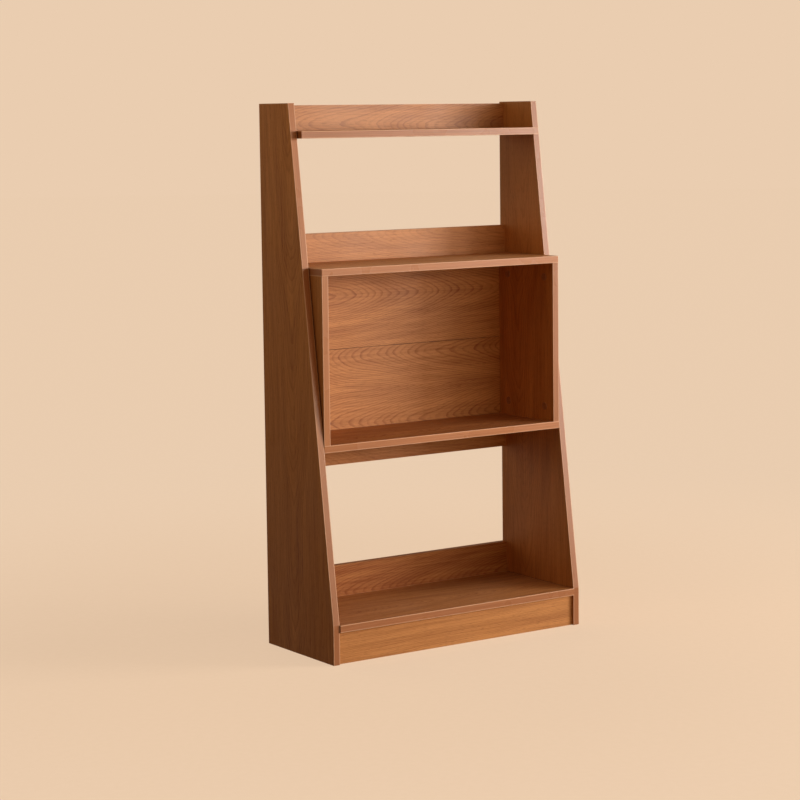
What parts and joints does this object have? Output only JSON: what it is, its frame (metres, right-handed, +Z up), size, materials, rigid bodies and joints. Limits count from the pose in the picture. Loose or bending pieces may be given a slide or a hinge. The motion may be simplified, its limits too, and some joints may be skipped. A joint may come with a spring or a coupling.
{
  "type": "bookshelf",
  "caption": "Tall free-standing bookshelf with tapered side panels, a lipped top shelf, an upright open display box at mid-height and a base shelf over a recessed plinth.",
  "frame": {"origin": "on the floor, below the middle of the overall box", "axes": "+Z up, +X to the right as seen from the front, +Y to the plumb rear, so the open front faces -Y"},
  "size_m": [0.67, 0.273, 1.2],
  "materials": {
    "board": "wood-grain faced board in warm brown oak, satin",
    "edge_band": "glued edge band in a paler brown with fine lengthwise grain, satin",
    "cam": "die-cast zinc, dull",
    "cam_bolt": "zinc-plated steel",
    "dowel": "bare beech",
    "cam_cover": "brown moulded plastic, matt"
  },
  "bodies": {
    "root": {"base_back_rail": "board", "base_rail_cam_bolts": "cam_bolt", "base_rail_cams": "cam", "base_rail_dowels": "dowel", "bottom_shelf": "board", "bottom_shelf_band": "edge_band", "bottom_shelf_cam_bolts": "cam_bolt", "bottom_shelf_cams": "cam", "bottom_shelf_dowels": "dowel", "box_back_cam_bolts": "cam_bolt", "box_back_cams": "cam", "box_back_dowels": "dowel", "box_board_cam_bolts": "cam_bolt", "box_board_cams": "cam", "box_board_dowels": "dowel", "box_bottom_band": "edge_band", "box_bottom_board": "board", "box_left_wall": "board", "box_left_wall_band": "edge_band", "box_lower_back": "board", "box_right_wall": "board", "box_right_wall_band": "edge_band", "box_top_band": "edge_band", "box_top_board": "board", "box_upper_back": "board", "box_wall_cam_bolts": "cam_bolt", "box_wall_cam_covers": "cam_cover", "box_wall_cams": "cam", "box_wall_dowels": "dowel", "left_panel_front_band": "edge_band", "left_panel_top_band": "edge_band", "left_side_panel": "board", "mid_back_rail": "board", "mid_rail_cam_bolts": "cam_bolt", "mid_rail_cams": "cam", "mid_rail_dowels": "dowel", "plinth": "board", "plinth_cam_bolts": "cam_bolt", "plinth_cams": "cam", "plinth_dowels": "dowel", "right_panel_front_band": "edge_band", "right_panel_top_band": "edge_band", "right_side_panel": "board", "top_back_rail": "board", "top_rail_cam_bolts": "cam_bolt", "top_rail_cams": "cam", "top_rail_dowels": "dowel", "top_shelf": "board", "top_shelf_band": "edge_band", "top_shelf_cam_bolts": "cam_bolt", "top_shelf_cams": "cam", "top_shelf_dowels": "dowel", "under_box_rail": "board", "under_rail_cam_bolts": "cam_bolt", "under_rail_cams": "cam", "under_rail_dowels": "dowel"}
  },
  "joints": []
}
